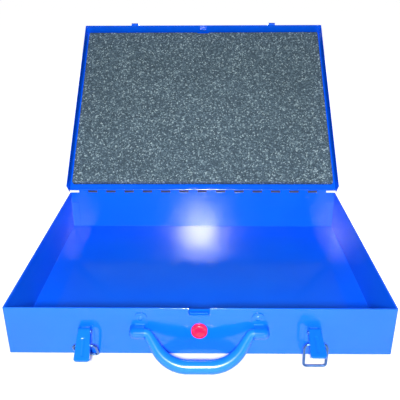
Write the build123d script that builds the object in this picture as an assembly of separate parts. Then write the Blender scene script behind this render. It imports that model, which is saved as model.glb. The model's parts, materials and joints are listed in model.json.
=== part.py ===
from build123d import *
import os
from math import acos, atan2, cos, degrees, hypot, pi, radians, sin, tan

# Flat sheet-steel storage case with a foam-lined lid, shown open.
# Origin: centre of the underside of the base. +X right, +Y towards the hinge, +Z up.
# Lengths are millimetres and angles are degrees.
# "Proud" is the distance in front of the outer face of the front wall.

# Base tray
case_width = 437.0
case_depth = 328.0
base_height = 62.5
sheet = 0.8
bend_radius = 1.6
hem_height = 7.0
hem_gap = 0.3
hem_round = 0.7
corner_tab_width = 12.0
corner_tab_height = 42.0
corner_tab_lift = 3.0

# Notch and push button in the middle of the front wall
notch_width = 24.0
notch_depth = 9.0
button_height = 33.5
button_diameter = 18.0
button_proud = 4.6
button_clearance = 0.3
button_dish = 0.7
button_flange_lip = 1.6
button_flange_thickness = 1.2
button_stem_diameter = 6.0
button_stem_length = 3.6
button_travel = 2.5

# Catch plate behind the notch, its housing and its spring
catch_width = 19.6
catch_thickness = 1.0
catch_foot = 12.5
catch_above_notch = 2.5
catch_clearance = 0.2
tongue_width = 12.0
tongue_thickness = 1.0
tongue_root = 5.0
housing_wall = 1.0
housing_side_gap = 1.8
housing_above_notch = 1.0
housing_depth = 10.0
dimple_height = 45.5
dimple_radius = 1.6
dimple_rise = 0.4
housing_lip = 5.0
spring_wire = 0.8
spring_diameter = 9.0
spring_turns = 5

# Lid tray
lid_clearance = 0.7
lid_over_rivet_gap = 0.3
lid_flange_depth = 19.2
lid_stop_gap = 0.05
lid_open_angle = 138.5
lid_corner_relief = 0.8
lid_corner_width = 8.2
foam_thickness = 10.5
foam_side_gap = 4.0
foam_front_gap = 0.7
foam_rear_gap = 9.5
foam_crown = 1.5
foam_relief_clearance = 1.6

# Piano hinge
pin_diameter = 2.0
pin_clearance = 0.05
leaf = 0.65
knuckle_wall = 0.55
knuckle_count = 29
knuckle_gap = 0.35
base_leaf_width = 14.0
lid_leaf_width = 9.2
leaf_offset = 0.3
hinge_slot = 3.1
lid_leaf_slot = 2.4
hinge_end_gap = 0.6

# Draw latches: a riveted bracket, a pressed lever, its rivet and a wire bail
latch_x = 127.4
latch_pivot_height = 36.1
latch_pivot_proud = 6.8
latch_plate_width = 17.8
latch_plate_thickness = 1.0
latch_plate_bottom = 12.0
latch_plate_above = 2.8
latch_rivet_heights = (24.5, 16.5)
cheek_thickness = 0.8
cheek_gap = 0.2
cheek_radius = 2.8
cheek_foot = 6.5
lever_length = 33.0
lever_top_width = 13.4
lever_end_width = 17.6
lever_sheet = 0.8
lever_top_radius = 4.6
lever_tip_depth = 4.4
lever_wrap = 50.0
lever_corner_radius = 3.0
lever_groove_radius = 5.0
lever_groove_depth = 0.6
lever_groove_start = 9.0
lever_groove_end_gap = 7.0
lever_pin_diameter = 3.0
lever_pin_head_diameter = 5.0
lever_pin_head = 1.1
lever_pin_play = 0.25
bail_wire = 2.8
bail_hole_clearance = 0.07
bail_pivot_along = 15.4
bail_pivot_out = 0.2
bail_half_width = 12.6
bail_end_half_width = 12.2
bail_shoulder = 4.5
bail_end_inside = 1.0
bail_corner_radius = 3.5
hook_above_rim = 1.0
hook_clearance = 0.1
hook_room = 0.4
hook_sheet = 1.0
hook_width = 13.0
hook_plate_height = 9.0
hook_lip = 0.8
right_lever_open = 68.6
left_lever_open = 46.0
bail_rest_gap = 0.3

# Carrying handle and its two riveted saddles
handle_pivot_below_hem = 20.5
handle_pivot_proud = 7.6
handle_rest_gap = 0.2
handle_reach = 35.8
trunnion_radius = 5.1
trunnion_clearance = 0.2
elbow_x = 57.4
elbow_radius = 6.2
grip_corner_x = 35.0
grip_corner_radius = 41.0
grip_radius = 7.9
saddle_sheet = 1.4
saddle_inner_x = 60.9
saddle_length = 17.0
saddle_end_round = 6.0
saddle_crease_radius = 1.8
saddle_tab_radius = 7.2
saddle_tab_inset = 4.3
saddle_rivet_lift = 8.1
saddle_lug_width = 8.0
saddle_lug_reach = 1.6
rivet_shank = 3.2
rivet_head = 6.0
rivet_head_height = 1.0

# Derived places
half_width = case_width / 2
front = -case_depth / 2
rear = case_depth / 2
hem_thickness = 2 * sheet + hem_gap
knuckle_radius = pin_diameter / 2 + pin_clearance + knuckle_wall
hinge_y = rear - sheet + knuckle_radius + leaf_offset - leaf
hinge_z = base_height + hinge_slot + knuckle_radius
plate_under = hinge_z + knuckle_radius + leaf_offset
lid_front_clearance = saddle_sheet + rivet_head_height + lid_over_rivet_gap
lid_half_width = half_width + lid_clearance + sheet
lid_front = front - lid_front_clearance - sheet
open_sin = sin(radians(lid_open_angle))
open_cos = cos(radians(lid_open_angle))
stop_y = rear - sheet + lid_stop_gap
lid_overhang = (hinge_y - stop_y + (plate_under - hinge_z) * open_sin) / -open_cos
lid_rear = hinge_y + lid_overhang
rim_height = hinge_z - lid_flange_depth
hook_height = rim_height + hook_above_rim
handle_pivot_height = base_height - hem_height - handle_pivot_below_hem
knuckle_pitch = case_width / knuckle_count
hook_proud = lid_front_clearance + sheet + hook_sheet + bail_wire / 2 + hook_room
trunnion_half_length = saddle_inner_x + saddle_length - saddle_end_round
saddle_tab_x = saddle_inner_x + saddle_tab_inset

hinge_axis = Axis((0, hinge_y, hinge_z), (1, 0, 0))


def block(x0, x1, y0, y1, z0, z1):
    """Box between two opposite corners."""
    size = (x1 - x0, y1 - y0, z1 - z0)
    middle = ((x0 + x1) / 2, (y0 + y1) / 2, (z0 + z1) / 2)
    return Pos(*middle) * Box(*size)


def rod(radius, start, direction, length):
    """Round bar from a point along a direction."""
    plane = Plane(origin=start, z_dir=direction)
    return extrude(plane * Circle(radius), length)


def side_profile(points, x0, x1):
    """Solid between x0 and x1 whose outline is given as (proud, height) points."""
    outline = [(front - proud, height) for proud, height in points]
    face = Plane.YZ.offset(x0) * make_face(Polyline(*outline, close=True))
    return extrude(face, x1 - x0)


def rivet(x, y, z, grip, direction):
    """Rivet with a domed head outside and a flat tail inside; grip is the stack it holds."""
    head = rod(rivet_head / 2, (x, y, z), (0, direction, 0), rivet_head_height)
    rim = head.faces().sort_by(Axis.Y)[0 if direction < 0 else -1].edges()
    head = fillet(rim, rivet_head_height * 0.8)
    shank = rod(rivet_shank / 2, (x, y, z), (0, -direction, 0), grip + rivet_head_height)
    tail_start = y - direction * grip
    tail = rod(rivet_shank * 0.75, (x, tail_start, z), (0, -direction, 0), rivet_head_height * 0.8)
    return head + shank + tail


def save(shape, name):
    """Write one sub-part, whether it is one solid or a group of separate solids."""
    if isinstance(shape, list):
        shape = Compound(children=shape)
    shape.label = name
    export_step(shape, f"parts/{name}.step")


def rounded_tray(width, depth, z0, z1, radius):
    """Box with rounded upright and bottom edges."""
    solid = block(-width / 2, width / 2, -depth / 2, depth / 2, z0, z1)
    upright = solid.edges().filter_by(Axis.Z)
    solid = fillet(upright, radius)
    return fillet(solid.faces().sort_by(Axis.Z)[0].edges(), radius)


def base_tray():
    """Folded tray with a hem round the front and the sides and a low plain rear wall."""
    inner_width = case_width - 2 * sheet
    inner_depth = case_depth - 2 * sheet
    tray = rounded_tray(case_width, case_depth, 0, base_height, bend_radius)
    tray -= rounded_tray(inner_width, inner_depth, sheet, base_height + sheet, bend_radius - sheet)
    hem_bottom = base_height - hem_height
    hem = block(-inner_width / 2, inner_width / 2, -inner_depth / 2, inner_depth / 2,
                hem_bottom, base_height)
    hem = fillet(hem.edges().filter_by(Axis.Z), bend_radius - sheet)
    hem_inside = half_width - hem_thickness
    hem -= block(-hem_inside, hem_inside, front + hem_thickness, rear, hem_bottom, base_height)
    tray += hem
    rim = tray.faces().filter_by(Plane.XY).sort_by(Axis.Z)[-1].edges()
    tray = fillet([e for e in rim if e.center().Y < rear - 2 * hem_thickness], hem_round)
    tab_top = corner_tab_lift + corner_tab_height
    for side in (-1, 1):
        outer = side * (half_width - sheet)
        x0, x1 = sorted((outer, outer - side * corner_tab_width))
        tray += block(x0, x1, rear - 2 * sheet, rear - sheet, corner_tab_lift, tab_top)
        tray += block(x0, x1, front + sheet, front + 2 * sheet, corner_tab_lift, tab_top)
    notch = block(-notch_width / 2, notch_width / 2, front - 1, front + 2 * hem_thickness,
                  base_height - notch_depth, base_height + 1)
    tray -= notch
    button_hole = button_diameter / 2 + button_clearance
    tray -= rod(button_hole, (0, front - 1, button_height), (0, 1, 0), 2 + sheet)
    for side in (-1, 1):
        for height in latch_rivet_heights:
            tray -= rod(rivet_shank / 2, (side * latch_x, front - 1, height), (0, 1, 0), 2 + sheet)
        tray -= rod(rivet_shank / 2, (side * saddle_tab_x, front - 1, saddle_rivet_height),
                    (0, 1, 0), 2 + sheet)
        lug_x = side * saddle_middle
        tray -= block(lug_x - saddle_lug_width / 2 - 0.2, lug_x + saddle_lug_width / 2 + 0.2,
                      front - 1, front + 2, saddle_bottom - 0.2, saddle_bottom + saddle_sheet + 0.2)
    dome_radius = (dimple_radius ** 2 + dimple_rise ** 2) / (2 * dimple_rise)
    dome = Pos(0, front + dome_radius - dimple_rise, dimple_height) * Sphere(dome_radius)
    reach = 2 * dimple_radius
    return tray + (dome & block(-reach, reach, front - 1, front + sheet / 2,
                                dimple_height - reach, dimple_height + reach))


def knuckles(first):
    """Every second ring of the hinge, beginning with knuckle number first."""
    rings = []
    for number in range(first, knuckle_count, 2):
        start = -case_width / 2 + number * knuckle_pitch + knuckle_gap / 2
        rings.append(rod(knuckle_radius, (start, hinge_y, hinge_z), (1, 0, 0),
                         knuckle_pitch - knuckle_gap))
    return rings


def hinge_bore():
    """Space for the hinge pin with its running clearance."""
    radius = pin_diameter / 2 + pin_clearance
    return rod(radius, (-half_width - 1, hinge_y, hinge_z), (1, 0, 0), case_width + 2)


def hinge_leaf_base():
    """Upright leaf inside the rear wall; its fingers rise to every second knuckle."""
    leaf_half = half_width - hem_thickness - hinge_end_gap
    y0 = rear - sheet - leaf
    y1 = rear - sheet
    part = block(-leaf_half, leaf_half, y0, y1, base_height - base_leaf_width, base_height)
    for number in range(1, knuckle_count, 2):
        start = -half_width + number * knuckle_pitch + knuckle_gap / 2
        part += block(start, start + knuckle_pitch - knuckle_gap, y0, y1, base_height - 1, hinge_z)
    for ring in knuckles(1):
        part += ring
    return part - hinge_bore()


def hinge_leaf_lid():
    """Leaf under the lid plate, with cut-outs round the knuckles of the base leaf."""
    leaf_half = half_width
    z1 = plate_under
    z0 = plate_under - leaf
    part = block(-leaf_half, leaf_half, hinge_y - lid_leaf_width, hinge_y, z0, z1)
    cut_depth = knuckle_radius + lid_leaf_slot
    for number in range(1, knuckle_count, 2):
        start = -half_width + number * knuckle_pitch - knuckle_gap / 2
        end = start + knuckle_pitch + knuckle_gap
        part -= block(start, end, hinge_y - cut_depth, hinge_y + 1, z0 - 1, z1 + 1)
    for ring in knuckles(0):
        part += ring
    return part - hinge_bore()


def hinge_pin():
    """Wire pin through all the knuckles."""
    return rod(pin_diameter / 2, (-half_width, hinge_y, hinge_z), (1, 0, 0), case_width)


def lid_tray():
    """Lid plate with three flanges, closed; its rear teeth stop against the base leaf when open."""
    lid_top = plate_under + sheet
    middle_y = (lid_front + lid_rear) / 2
    length = lid_rear - lid_front
    tray = block(-lid_half_width, lid_half_width, lid_front, lid_rear, rim_height, lid_top)
    front_uprights = [e for e in tray.edges().filter_by(Axis.Z) if e.center().Y < middle_y]
    tray = fillet(front_uprights, bend_radius)
    top = tray.faces().sort_by(Axis.Z)[-1].edges()
    tray = fillet([e for e in top if e.center().Y < lid_rear - 1], bend_radius)
    inside = block(-lid_half_width + sheet, lid_half_width - sheet, lid_front + sheet,
                   lid_rear + length, rim_height - 1, plate_under)
    tray -= inside
    for side in (-1, 1):
        flange_inside = lid_half_width - sheet
        x0, x1 = sorted((side * flange_inside, side * (flange_inside - lid_corner_width)))
        tray -= block(x0, x1, hinge_y - lid_corner_relief, lid_rear + 1, plate_under - 1, lid_top + 1)
    for number in range(0, knuckle_count, 2):
        start = -half_width + number * knuckle_pitch - knuckle_gap / 2
        end = start + knuckle_pitch + knuckle_gap
        tray -= block(start, end, hinge_y, lid_rear + 1, plate_under - 1, lid_top + 1)
    return tray


def foam_mat():
    """Foam sheet glued under the lid plate, relieved in front for the catch plate."""
    y0 = front + hem_thickness + foam_front_gap
    y1 = hinge_y - foam_rear_gap
    half = lid_half_width - sheet - foam_side_gap
    z0 = plate_under - foam_thickness
    mat = block(-half, half, y0, y1, z0, plate_under)
    mat = fillet(mat.faces().sort_by(Axis.Z)[0].edges(), foam_crown)
    relief_half = catch_width / 2 + foam_relief_clearance
    relief_y = catch_face + catch_thickness + button_travel + catch_clearance + 0.3
    return mat - block(-relief_half, relief_half, y0 - 1, relief_y, z0 - 1, plate_under + 1)


def strike(side):
    """Hook on the lid flange that the wire bail pulls on, closed position."""
    wire_gap = bail_wire / 2 + hook_room
    outer = wire_gap + hook_sheet
    x0 = side * latch_x - hook_width / 2
    x1 = side * latch_x + hook_width / 2
    y = front - hook_proud
    z = hook_height + hook_room - hook_clearance
    ring = rod(outer, (x0, y, z), (1, 0, 0), hook_width)
    ring -= rod(wire_gap, (x0, y, z), (1, 0, 0), hook_width)
    ring -= block(x0, x1, y - outer - 1, y + outer + 1, z, z + outer + 1)
    plate = block(x0, x1, y + wire_gap, y + outer, z, z + hook_plate_height)
    lip = block(x0, x1, y - outer, y - wire_gap, z, z + hook_lip)
    return ring + plate + lip


def lid_catch():
    """Tongue inside the lid flange that snaps under the lip of the catch plate."""
    half = tongue_width / 2
    y_flange = front - lid_front_clearance
    z1 = catch_top - catch_thickness - catch_clearance / 2
    z0 = z1 - tongue_thickness
    tongue = block(-half, half, y_flange, catch_back - catch_clearance, z0, z1)
    plate = block(-half, half, y_flange, y_flange + 0.5, z0, z1 + tongue_root)
    return tongue + plate


def catch_plate():
    """Plate moved by the button; the lip along its top edge holds the lid tongue."""
    half = catch_width / 2
    plate = block(-half, half, catch_back, catch_back + catch_thickness,
                  button_height - catch_foot, catch_top)
    lip = block(-half, half, catch_face, catch_back + catch_thickness,
                catch_top - catch_thickness, catch_top)
    stem_hole = rod(button_stem_diameter / 2, (0, catch_back - 1, button_height), (0, 1, 0), 4)
    return plate + lip - stem_hole


def push_button():
    """Red button: dished cap through the front wall, inner flange and stem."""
    radius = button_diameter / 2
    cap_front = front - button_proud
    flange_y = front + sheet + catch_clearance
    cap = rod(radius, (0, cap_front, button_height), (0, 1, 0), button_proud + sheet + catch_clearance)
    cap = fillet(cap.faces().sort_by(Axis.Y)[0].edges(), 1.6)
    dish_radius = (radius * 0.6) ** 2 / (2 * button_dish) + button_dish / 2
    cap -= Pos(0, cap_front - dish_radius + button_dish, button_height) * Sphere(dish_radius)
    flange = rod(radius + button_flange_lip, (0, flange_y, button_height), (0, 1, 0),
                 button_flange_thickness)
    stem = rod(button_stem_diameter / 2, (0, flange_y, button_height), (0, 1, 0),
               button_flange_thickness + button_stem_length)
    return cap + flange + stem


def catch_housing():
    """Channel welded inside the front wall; it guides the catch plate and backs the spring."""
    half = catch_width / 2 + housing_side_gap + housing_wall
    y0 = front + sheet
    y1 = y0 + housing_depth
    z0 = button_height - catch_foot - housing_wall
    shell = block(-half, half, y0, y1, z0, housing_top)
    shell -= block(-half + housing_wall, half - housing_wall, y0 - 1, y1 - housing_wall,
                   z0 - 1, housing_top + 1)
    for side in (-1, 1):
        x0, x1 = sorted((side * half, side * (half + housing_lip)))
        shell += block(x0, x1, y0, y0 + housing_wall, z0, housing_top)
    return shell


def catch_spring():
    """Coil spring between the catch plate and the back of the housing."""
    y0 = catch_back + catch_thickness + spring_wire / 2 + 0.05
    y1 = front + sheet + housing_depth - housing_wall - spring_wire / 2 - 0.05
    height = y1 - y0
    coil_radius = (spring_diameter - spring_wire) / 2
    helix = Helix(pitch=height / spring_turns, height=height, radius=coil_radius,
                  center=(0, y0, button_height), direction=(0, 1, 0))
    start = helix @ 0
    section = Plane(origin=start, z_dir=helix % 0) * Circle(spring_wire / 2)
    return sweep(section, path=helix)


def latch_bracket(side):
    """Base plate with two ears that carry the lever rivet."""
    centre = side * latch_x
    half = latch_plate_width / 2
    top = latch_pivot_height + latch_plate_above
    plate = block(centre - half, centre + half, front - latch_plate_thickness, front,
                  latch_plate_bottom, top)
    plate = fillet(plate.edges().filter_by(Axis.Y), 2.0)
    outer = lever_top_width / 2 - lever_sheet - cheek_gap
    for hand in (-1, 1):
        x0, x1 = sorted((centre + hand * outer, centre + hand * (outer - cheek_thickness)))
        ear = rod(cheek_radius, (x0, front - latch_pivot_proud, latch_pivot_height), (1, 0, 0),
                  cheek_thickness)
        root = [(0.5, latch_pivot_height - cheek_foot), (0.5, latch_pivot_height + cheek_radius),
                (latch_pivot_proud, latch_pivot_height + cheek_radius),
                (latch_pivot_proud, latch_pivot_height - cheek_radius)]
        plate += ear + side_profile(root, x0, x1)
    plate -= rod(lever_pin_diameter / 2, (centre - half, front - latch_pivot_proud, latch_pivot_height),
                 (1, 0, 0), latch_plate_width)
    for height in latch_rivet_heights:
        plate -= rod(rivet_shank / 2, (centre, front - 5, height), (0, 1, 0), 6)
    return plate


def lever_pin(side):
    """Rivet through the lever and both ears, with a round head at each end."""
    half = lever_top_width / 2 + lever_pin_play
    x0 = side * latch_x - half
    place = (front - latch_pivot_proud, latch_pivot_height)
    pin = rod(lever_pin_diameter / 2, (x0, *place), (1, 0, 0), 2 * half)
    for start, direction in ((x0, -1), (x0 + 2 * half, 1)):
        head = rod(lever_pin_head_diameter / 2, (start, *place), (direction, 0, 0), lever_pin_head)
        end_face = head.faces().sort_by(Axis.X)[0 if direction < 0 else -1]
        pin += fillet(end_face.edges(), lever_pin_head * 0.8)
    return pin


def lever_outline(inset):
    """Side outline of the closed lever; with an inset, the outline of the hollow inside it."""
    out = lever_top_radius - inset
    end = lever_length - inset
    corner = 2.0 - inset

    def at(along, outward):
        return (front - latch_pivot_proud - outward, latch_pivot_height - along)

    def bend(angle):
        return at(-out * sin(radians(angle)), out * cos(radians(angle)))

    web_end = at(end - corner, out)
    web_corner = at(end, out - corner)
    middle = at(end - corner * (1 - sin(pi / 4)), out - corner * (1 - cos(pi / 4)))
    lines = [ThreePointArc(web_corner, middle, web_end), Line(web_end, at(0, out))]
    if inset == 0:
        back = at(-out * sin(radians(145)), out * cos(radians(145)))
        lines += [ThreePointArc(at(0, out), bend(75), back), Line(back, at(end, out - lever_tip_depth)),
                  Line(at(end, out - lever_tip_depth), web_corner)]
    else:
        far = 3 * lever_top_radius
        edge = at(-far * sin(radians(lever_wrap)), far * cos(radians(lever_wrap)))
        lines += [ThreePointArc(at(0, out), bend(lever_wrap / 2), bend(lever_wrap)),
                  Line(bend(lever_wrap), edge), Line(edge, at(-far, -far)),
                  Line(at(-far, -far), at(end + far, -far)),
                  Line(at(end + far, -far), at(end + far, out - corner)),
                  Line(at(end + far, out - corner), web_corner)]
    return make_face(Curve() + lines)


def lever_plan(inset):
    """Front outline of the lever: narrow at the pivot, wide and rounded at the thumb end."""
    top = lever_top_width / 2 - inset
    slope = (lever_end_width - lever_top_width) / 2 / lever_length
    low = lever_top_width / 2 + slope * lever_length - inset
    z_top = latch_pivot_height + 2 * lever_top_radius
    z_end = latch_pivot_height - lever_length - 2 * inset
    points = [(-top, z_top), (top, z_top), (top, latch_pivot_height), (low, z_end),
              (-low, z_end), (-top, latch_pivot_height)]
    face = make_face(Polyline(*points, close=True))
    ends = face.vertices().sort_by(Axis.Y)[:2]
    return fillet(ends, lever_corner_radius - inset)


def lever_block(inset):
    """Solid that the side and front outlines of the lever share, moved inwards by inset."""
    deep = 40.0
    outline = extrude(Plane.YZ.offset(-deep / 2) * lever_outline(inset), deep)
    plan = extrude(Plane.XZ.offset(-front - deep / 2) * lever_plan(inset), deep)
    return outline & plan


def latch_lever(side):
    """Pressed lever, closed position: web, two flanges, rounded top and a round-bottomed groove."""
    body = lever_block(0) - lever_block(lever_sheet)
    groove_y = front - latch_pivot_proud - lever_top_radius - lever_groove_radius + lever_groove_depth
    groove_low = latch_pivot_height - lever_length + lever_groove_end_gap
    groove_high = latch_pivot_height - lever_groove_start
    groove = rod(lever_groove_radius, (0, groove_y, groove_low), (0, 0, 1), groove_high - groove_low)
    for height in (groove_low, groove_high):
        groove += Pos(0, groove_y, height) * Sphere(lever_groove_radius)
    body -= groove
    reach = lever_end_width
    pin_hole = lever_pin_diameter / 2 + pin_clearance
    body -= rod(pin_hole, (-reach, front - latch_pivot_proud, latch_pivot_height), (1, 0, 0), 2 * reach)
    body -= rod(bail_wire / 2 + bail_hole_clearance, (-reach, bail_pivot[0], bail_pivot[1]),
                (1, 0, 0), 2 * reach)
    return Pos(side * latch_x, 0, 0) * body


def latch_bail(side):
    """Wire loop, drawn with its arms pointing up from the pivot at the closed lever."""
    slope = (lever_end_width - lever_top_width) / 2 / lever_length
    flange_outer = lever_top_width / 2 + slope * bail_pivot_along
    end_x = flange_outer - lever_sheet - bail_end_inside
    bend_x = flange_outer + bail_wire / 2 + 0.9
    y, z = bail_pivot
    half = [(end_x, 0), (bend_x, 0), (bail_half_width, bail_shoulder),
            (bail_end_half_width, bail_length)]
    points = [(x, y, z + w) for x, w in half]
    points += [(-x, y, z + w) for x, w in reversed(half)]
    radii = [1.8, 2.5, bail_corner_radius, bail_corner_radius, 2.5, 1.8]
    path = FilletPolyline(*points, radius=radii)
    section = Plane(origin=points[0], z_dir=(1, 0, 0)) * Circle(bail_wire / 2)
    return Pos(side * latch_x, 0, 0) * sweep(section, path=path)


def turned(shape, y, z, angle):
    """Shape turned about an X-wise axis; a positive angle swings a hanging piece outwards."""
    return shape.rotate(Axis((0, y, z), (1, 0, 0)), -angle)


def handle():
    """Bent handle, hanging straight down, thicker along the grip than at its ends."""
    y = front - handle_pivot_proud
    z = handle_pivot_height
    half = [(trunnion_half_length, 0), (elbow_x, 0), (grip_corner_x, handle_reach)]
    points = half + [(-x, w) for x, w in reversed(half)]
    path = FilletPolyline(*points, radius=[elbow_radius, grip_corner_radius, grip_corner_radius,
                                           elbow_radius])
    length = path.length
    stations = 32
    bend_start = elbow_x + elbow_radius * tan(atan2(handle_reach, elbow_x - grip_corner_x) / 2)
    start = (trunnion_half_length - bend_start) / length
    sections = []
    for index in range(stations + 1):
        share = start + (1 - 2 * start) * index / stations
        centre = path @ share
        tangent = path % share
        swell = min(1.0, max(0.0, centre.Y / handle_reach))
        radius = trunnion_radius + (grip_radius - trunnion_radius) * swell
        plane = Plane(origin=(centre.X, y, z - centre.Y), x_dir=(0, 1, 0),
                      z_dir=(tangent.X, 0, -tangent.Y))
        sections.append(plane * Circle(radius))
    bow = loft(sections)
    for side in (-1, 1):
        bow += rod(trunnion_radius, (side * bend_start, y, z), (side, 0, 0),
                   trunnion_half_length - bend_start)
    return bow


def crease(tab_x, height):
    """Inside bend where the saddle's tab folds out into the cover, its corner at this height."""
    y = front - saddle_sheet
    r = saddle_crease_radius
    middle = r * (1 - sin(pi / 4))
    x0, x1 = sorted((saddle_inner_x, abs(tab_x) + saddle_tab_radius - 1))
    if tab_x < 0:
        x0, x1 = -x1, -x0
    edges = Polyline((y, height + r), (y + 0.5, height + r), (y + 0.5, height - 0.5),
                     (y - r, height - 0.5), (y - r, height))
    bend = ThreePointArc((y - r, height), (y - middle, height + middle), (y, height + r))
    face = Plane.YZ.offset(x0) * make_face(Curve() + [edges, bend])
    return extrude(face, x1 - x0)


def saddle(side):
    """Pressed cover over one handle trunnion: closed outer end, riveted tab, lug through the wall."""
    inner = trunnion_radius + trunnion_clearance
    outer = inner + saddle_sheet
    x_in = side * saddle_inner_x
    x_out = side * (saddle_inner_x + saddle_length)
    x0, x1 = sorted((x_in, x_out))
    y = front - handle_pivot_proud
    z = handle_pivot_height
    shell = rod(outer, (x0, y, z), (1, 0, 0), saddle_length)
    shell += block(x0, x1, y, front, z - outer, z + outer)
    end_face = shell.faces().sort_by(Axis.X)[-1 if side > 0 else 0]
    end_edges = [e for e in end_face.edges() if e.center().Y < front - 0.01]
    shell = fillet(end_edges, saddle_end_round)
    h0, h1 = sorted((x_in - side, x_out - side * saddle_sheet))
    hollow = rod(inner, (h0, y, z), (1, 0, 0), h1 - h0)
    hollow += block(h0, h1, y, front + 1, z - inner, z + inner)
    hollow_end = hollow.faces().sort_by(Axis.X)[-1 if side > 0 else 0]
    hollow_edges = [e for e in hollow_end.edges() if e.center().Y < front + 0.9]
    hollow = fillet(hollow_edges, saddle_end_round - saddle_sheet)
    shell -= hollow
    tab_x = side * saddle_tab_x
    tab = rod(saddle_tab_radius, (tab_x, front - saddle_sheet, saddle_rivet_height), (0, 1, 0),
              saddle_sheet)
    tab += block(tab_x - saddle_tab_radius, tab_x + saddle_tab_radius, front - saddle_sheet, front,
                 z + inner, saddle_rivet_height)
    tab += crease(tab_x, z + outer)
    tab -= rod(rivet_shank / 2, (tab_x, front - 5, saddle_rivet_height), (0, 1, 0), 6)
    lug_x = side * saddle_middle
    lug = block(lug_x - saddle_lug_width / 2, lug_x + saddle_lug_width / 2, front - 1,
                front + sheet + saddle_lug_reach, saddle_bottom, saddle_bottom + saddle_sheet)
    return shell + tab + lug


# Places that several pieces share
catch_top = base_height - notch_depth + catch_above_notch
catch_face = front + sheet + catch_clearance
catch_back = catch_face + button_flange_thickness
housing_top = base_height - notch_depth + housing_above_notch
saddle_middle = saddle_inner_x + saddle_length / 2
saddle_outer_radius = trunnion_radius + trunnion_clearance + saddle_sheet
saddle_bottom = handle_pivot_height - saddle_outer_radius
saddle_rivet_height = handle_pivot_height + saddle_outer_radius + saddle_rivet_lift
bail_pivot = (front - latch_pivot_proud - bail_pivot_out, latch_pivot_height - bail_pivot_along)
handle_drop = handle_pivot_height - grip_radius - handle_rest_gap
handle_rest = degrees(acos(min(1.0, handle_drop / handle_reach)))
bail_length = hypot(bail_pivot[0] - (front - hook_proud), hook_height - bail_pivot[1])


def open_bail_pivot(lever_angle):
    """Place (proud, height) of the bail's pivot when the lever stands open."""
    along = bail_pivot_along
    out = bail_pivot_out
    open_sine = sin(radians(lever_angle))
    open_cosine = cos(radians(lever_angle))
    proud = latch_pivot_proud + along * open_sine + out * open_cosine
    return proud, latch_pivot_height - along * open_cosine + out * open_sine


def place_bail(side, lever_angle, swing):
    """Bail hung from the open lever; swing is its angle from straight down, outwards positive."""
    y, z = bail_pivot
    shape = turned(latch_bail(side), y, z, -180 + swing)
    proud, height = open_bail_pivot(lever_angle)
    return Pos(0, front - proud - y, height - z) * shape


os.makedirs("parts", exist_ok=True)

save(base_tray(), "base_tray")
save(hinge_leaf_base(), "hinge_leaf_base")
save(hinge_pin(), "hinge_pin")
save(catch_housing(), "catch_housing")
save(push_button(), "push_button")
save(catch_plate(), "catch_plate")
save(catch_spring(), "catch_spring")

for make, name in ((lid_tray, "lid_tray"), (hinge_leaf_lid, "hinge_leaf_lid"),
                   (foam_mat, "foam_mat"), (lid_catch, "lid_catch")):
    save(make().rotate(hinge_axis, -lid_open_angle), name)

save(turned(handle(), front - handle_pivot_proud, handle_pivot_height, handle_rest), "handle")

saddle_rivets = []
latch_rivets = []
for side, word, lever_angle in ((-1, "left", left_lever_open), (1, "right", right_lever_open)):
    save(strike(side).rotate(hinge_axis, -lid_open_angle), f"strike_{word}")
    save(saddle(side), f"handle_saddle_{word}")
    saddle_rivets.append(rivet(side * saddle_tab_x, front - saddle_sheet, saddle_rivet_height,
                               saddle_sheet + sheet, -1))
    save(latch_bracket(side), f"latch_bracket_{word}")
    save(lever_pin(side), f"lever_pin_{word}")
    lever = turned(latch_lever(side), front - latch_pivot_proud, latch_pivot_height, lever_angle)
    save(lever, f"latch_lever_{word}")
    for height in latch_rivet_heights:
        latch_rivets.append(rivet(side * latch_x, front - latch_plate_thickness, height,
                                  latch_plate_thickness + sheet, -1))
    pivot_height = open_bail_pivot(lever_angle)[1]
    drop = pivot_height - bail_wire / 2 - bail_rest_gap
    swing = -degrees(acos(min(1.0, drop / bail_length)))
    save(place_bail(side, lever_angle, swing), f"latch_bail_{word}")
    print(word, "bail swing at rest", round(swing, 3), "pivot height", round(pivot_height, 3))
save(saddle_rivets, "saddle_rivets")
save(latch_rivets, "latch_rivets")

print("hinge axis y, z:", round(hinge_y, 3), round(hinge_z, 3))
print("bail length:", round(bail_length, 3), "closed bail angle:",
      round(180 - degrees(atan2(bail_pivot[0] - (front - hook_proud), hook_height - bail_pivot[1])), 3))
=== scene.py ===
# %% [markdown]
# # A flat steel case with a foam-lined lid
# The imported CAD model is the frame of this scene: every pressed piece and pin comes from it and
# stays where it is. Blender adds what metal-working drawings leave out: the finishes, the foam mat,
# bars, wires and rivets with clean round sections, and the light of the photograph.

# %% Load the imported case
import json
import math

import bmesh
import bpy
from mathutils import Matrix, Vector, noise


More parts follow.
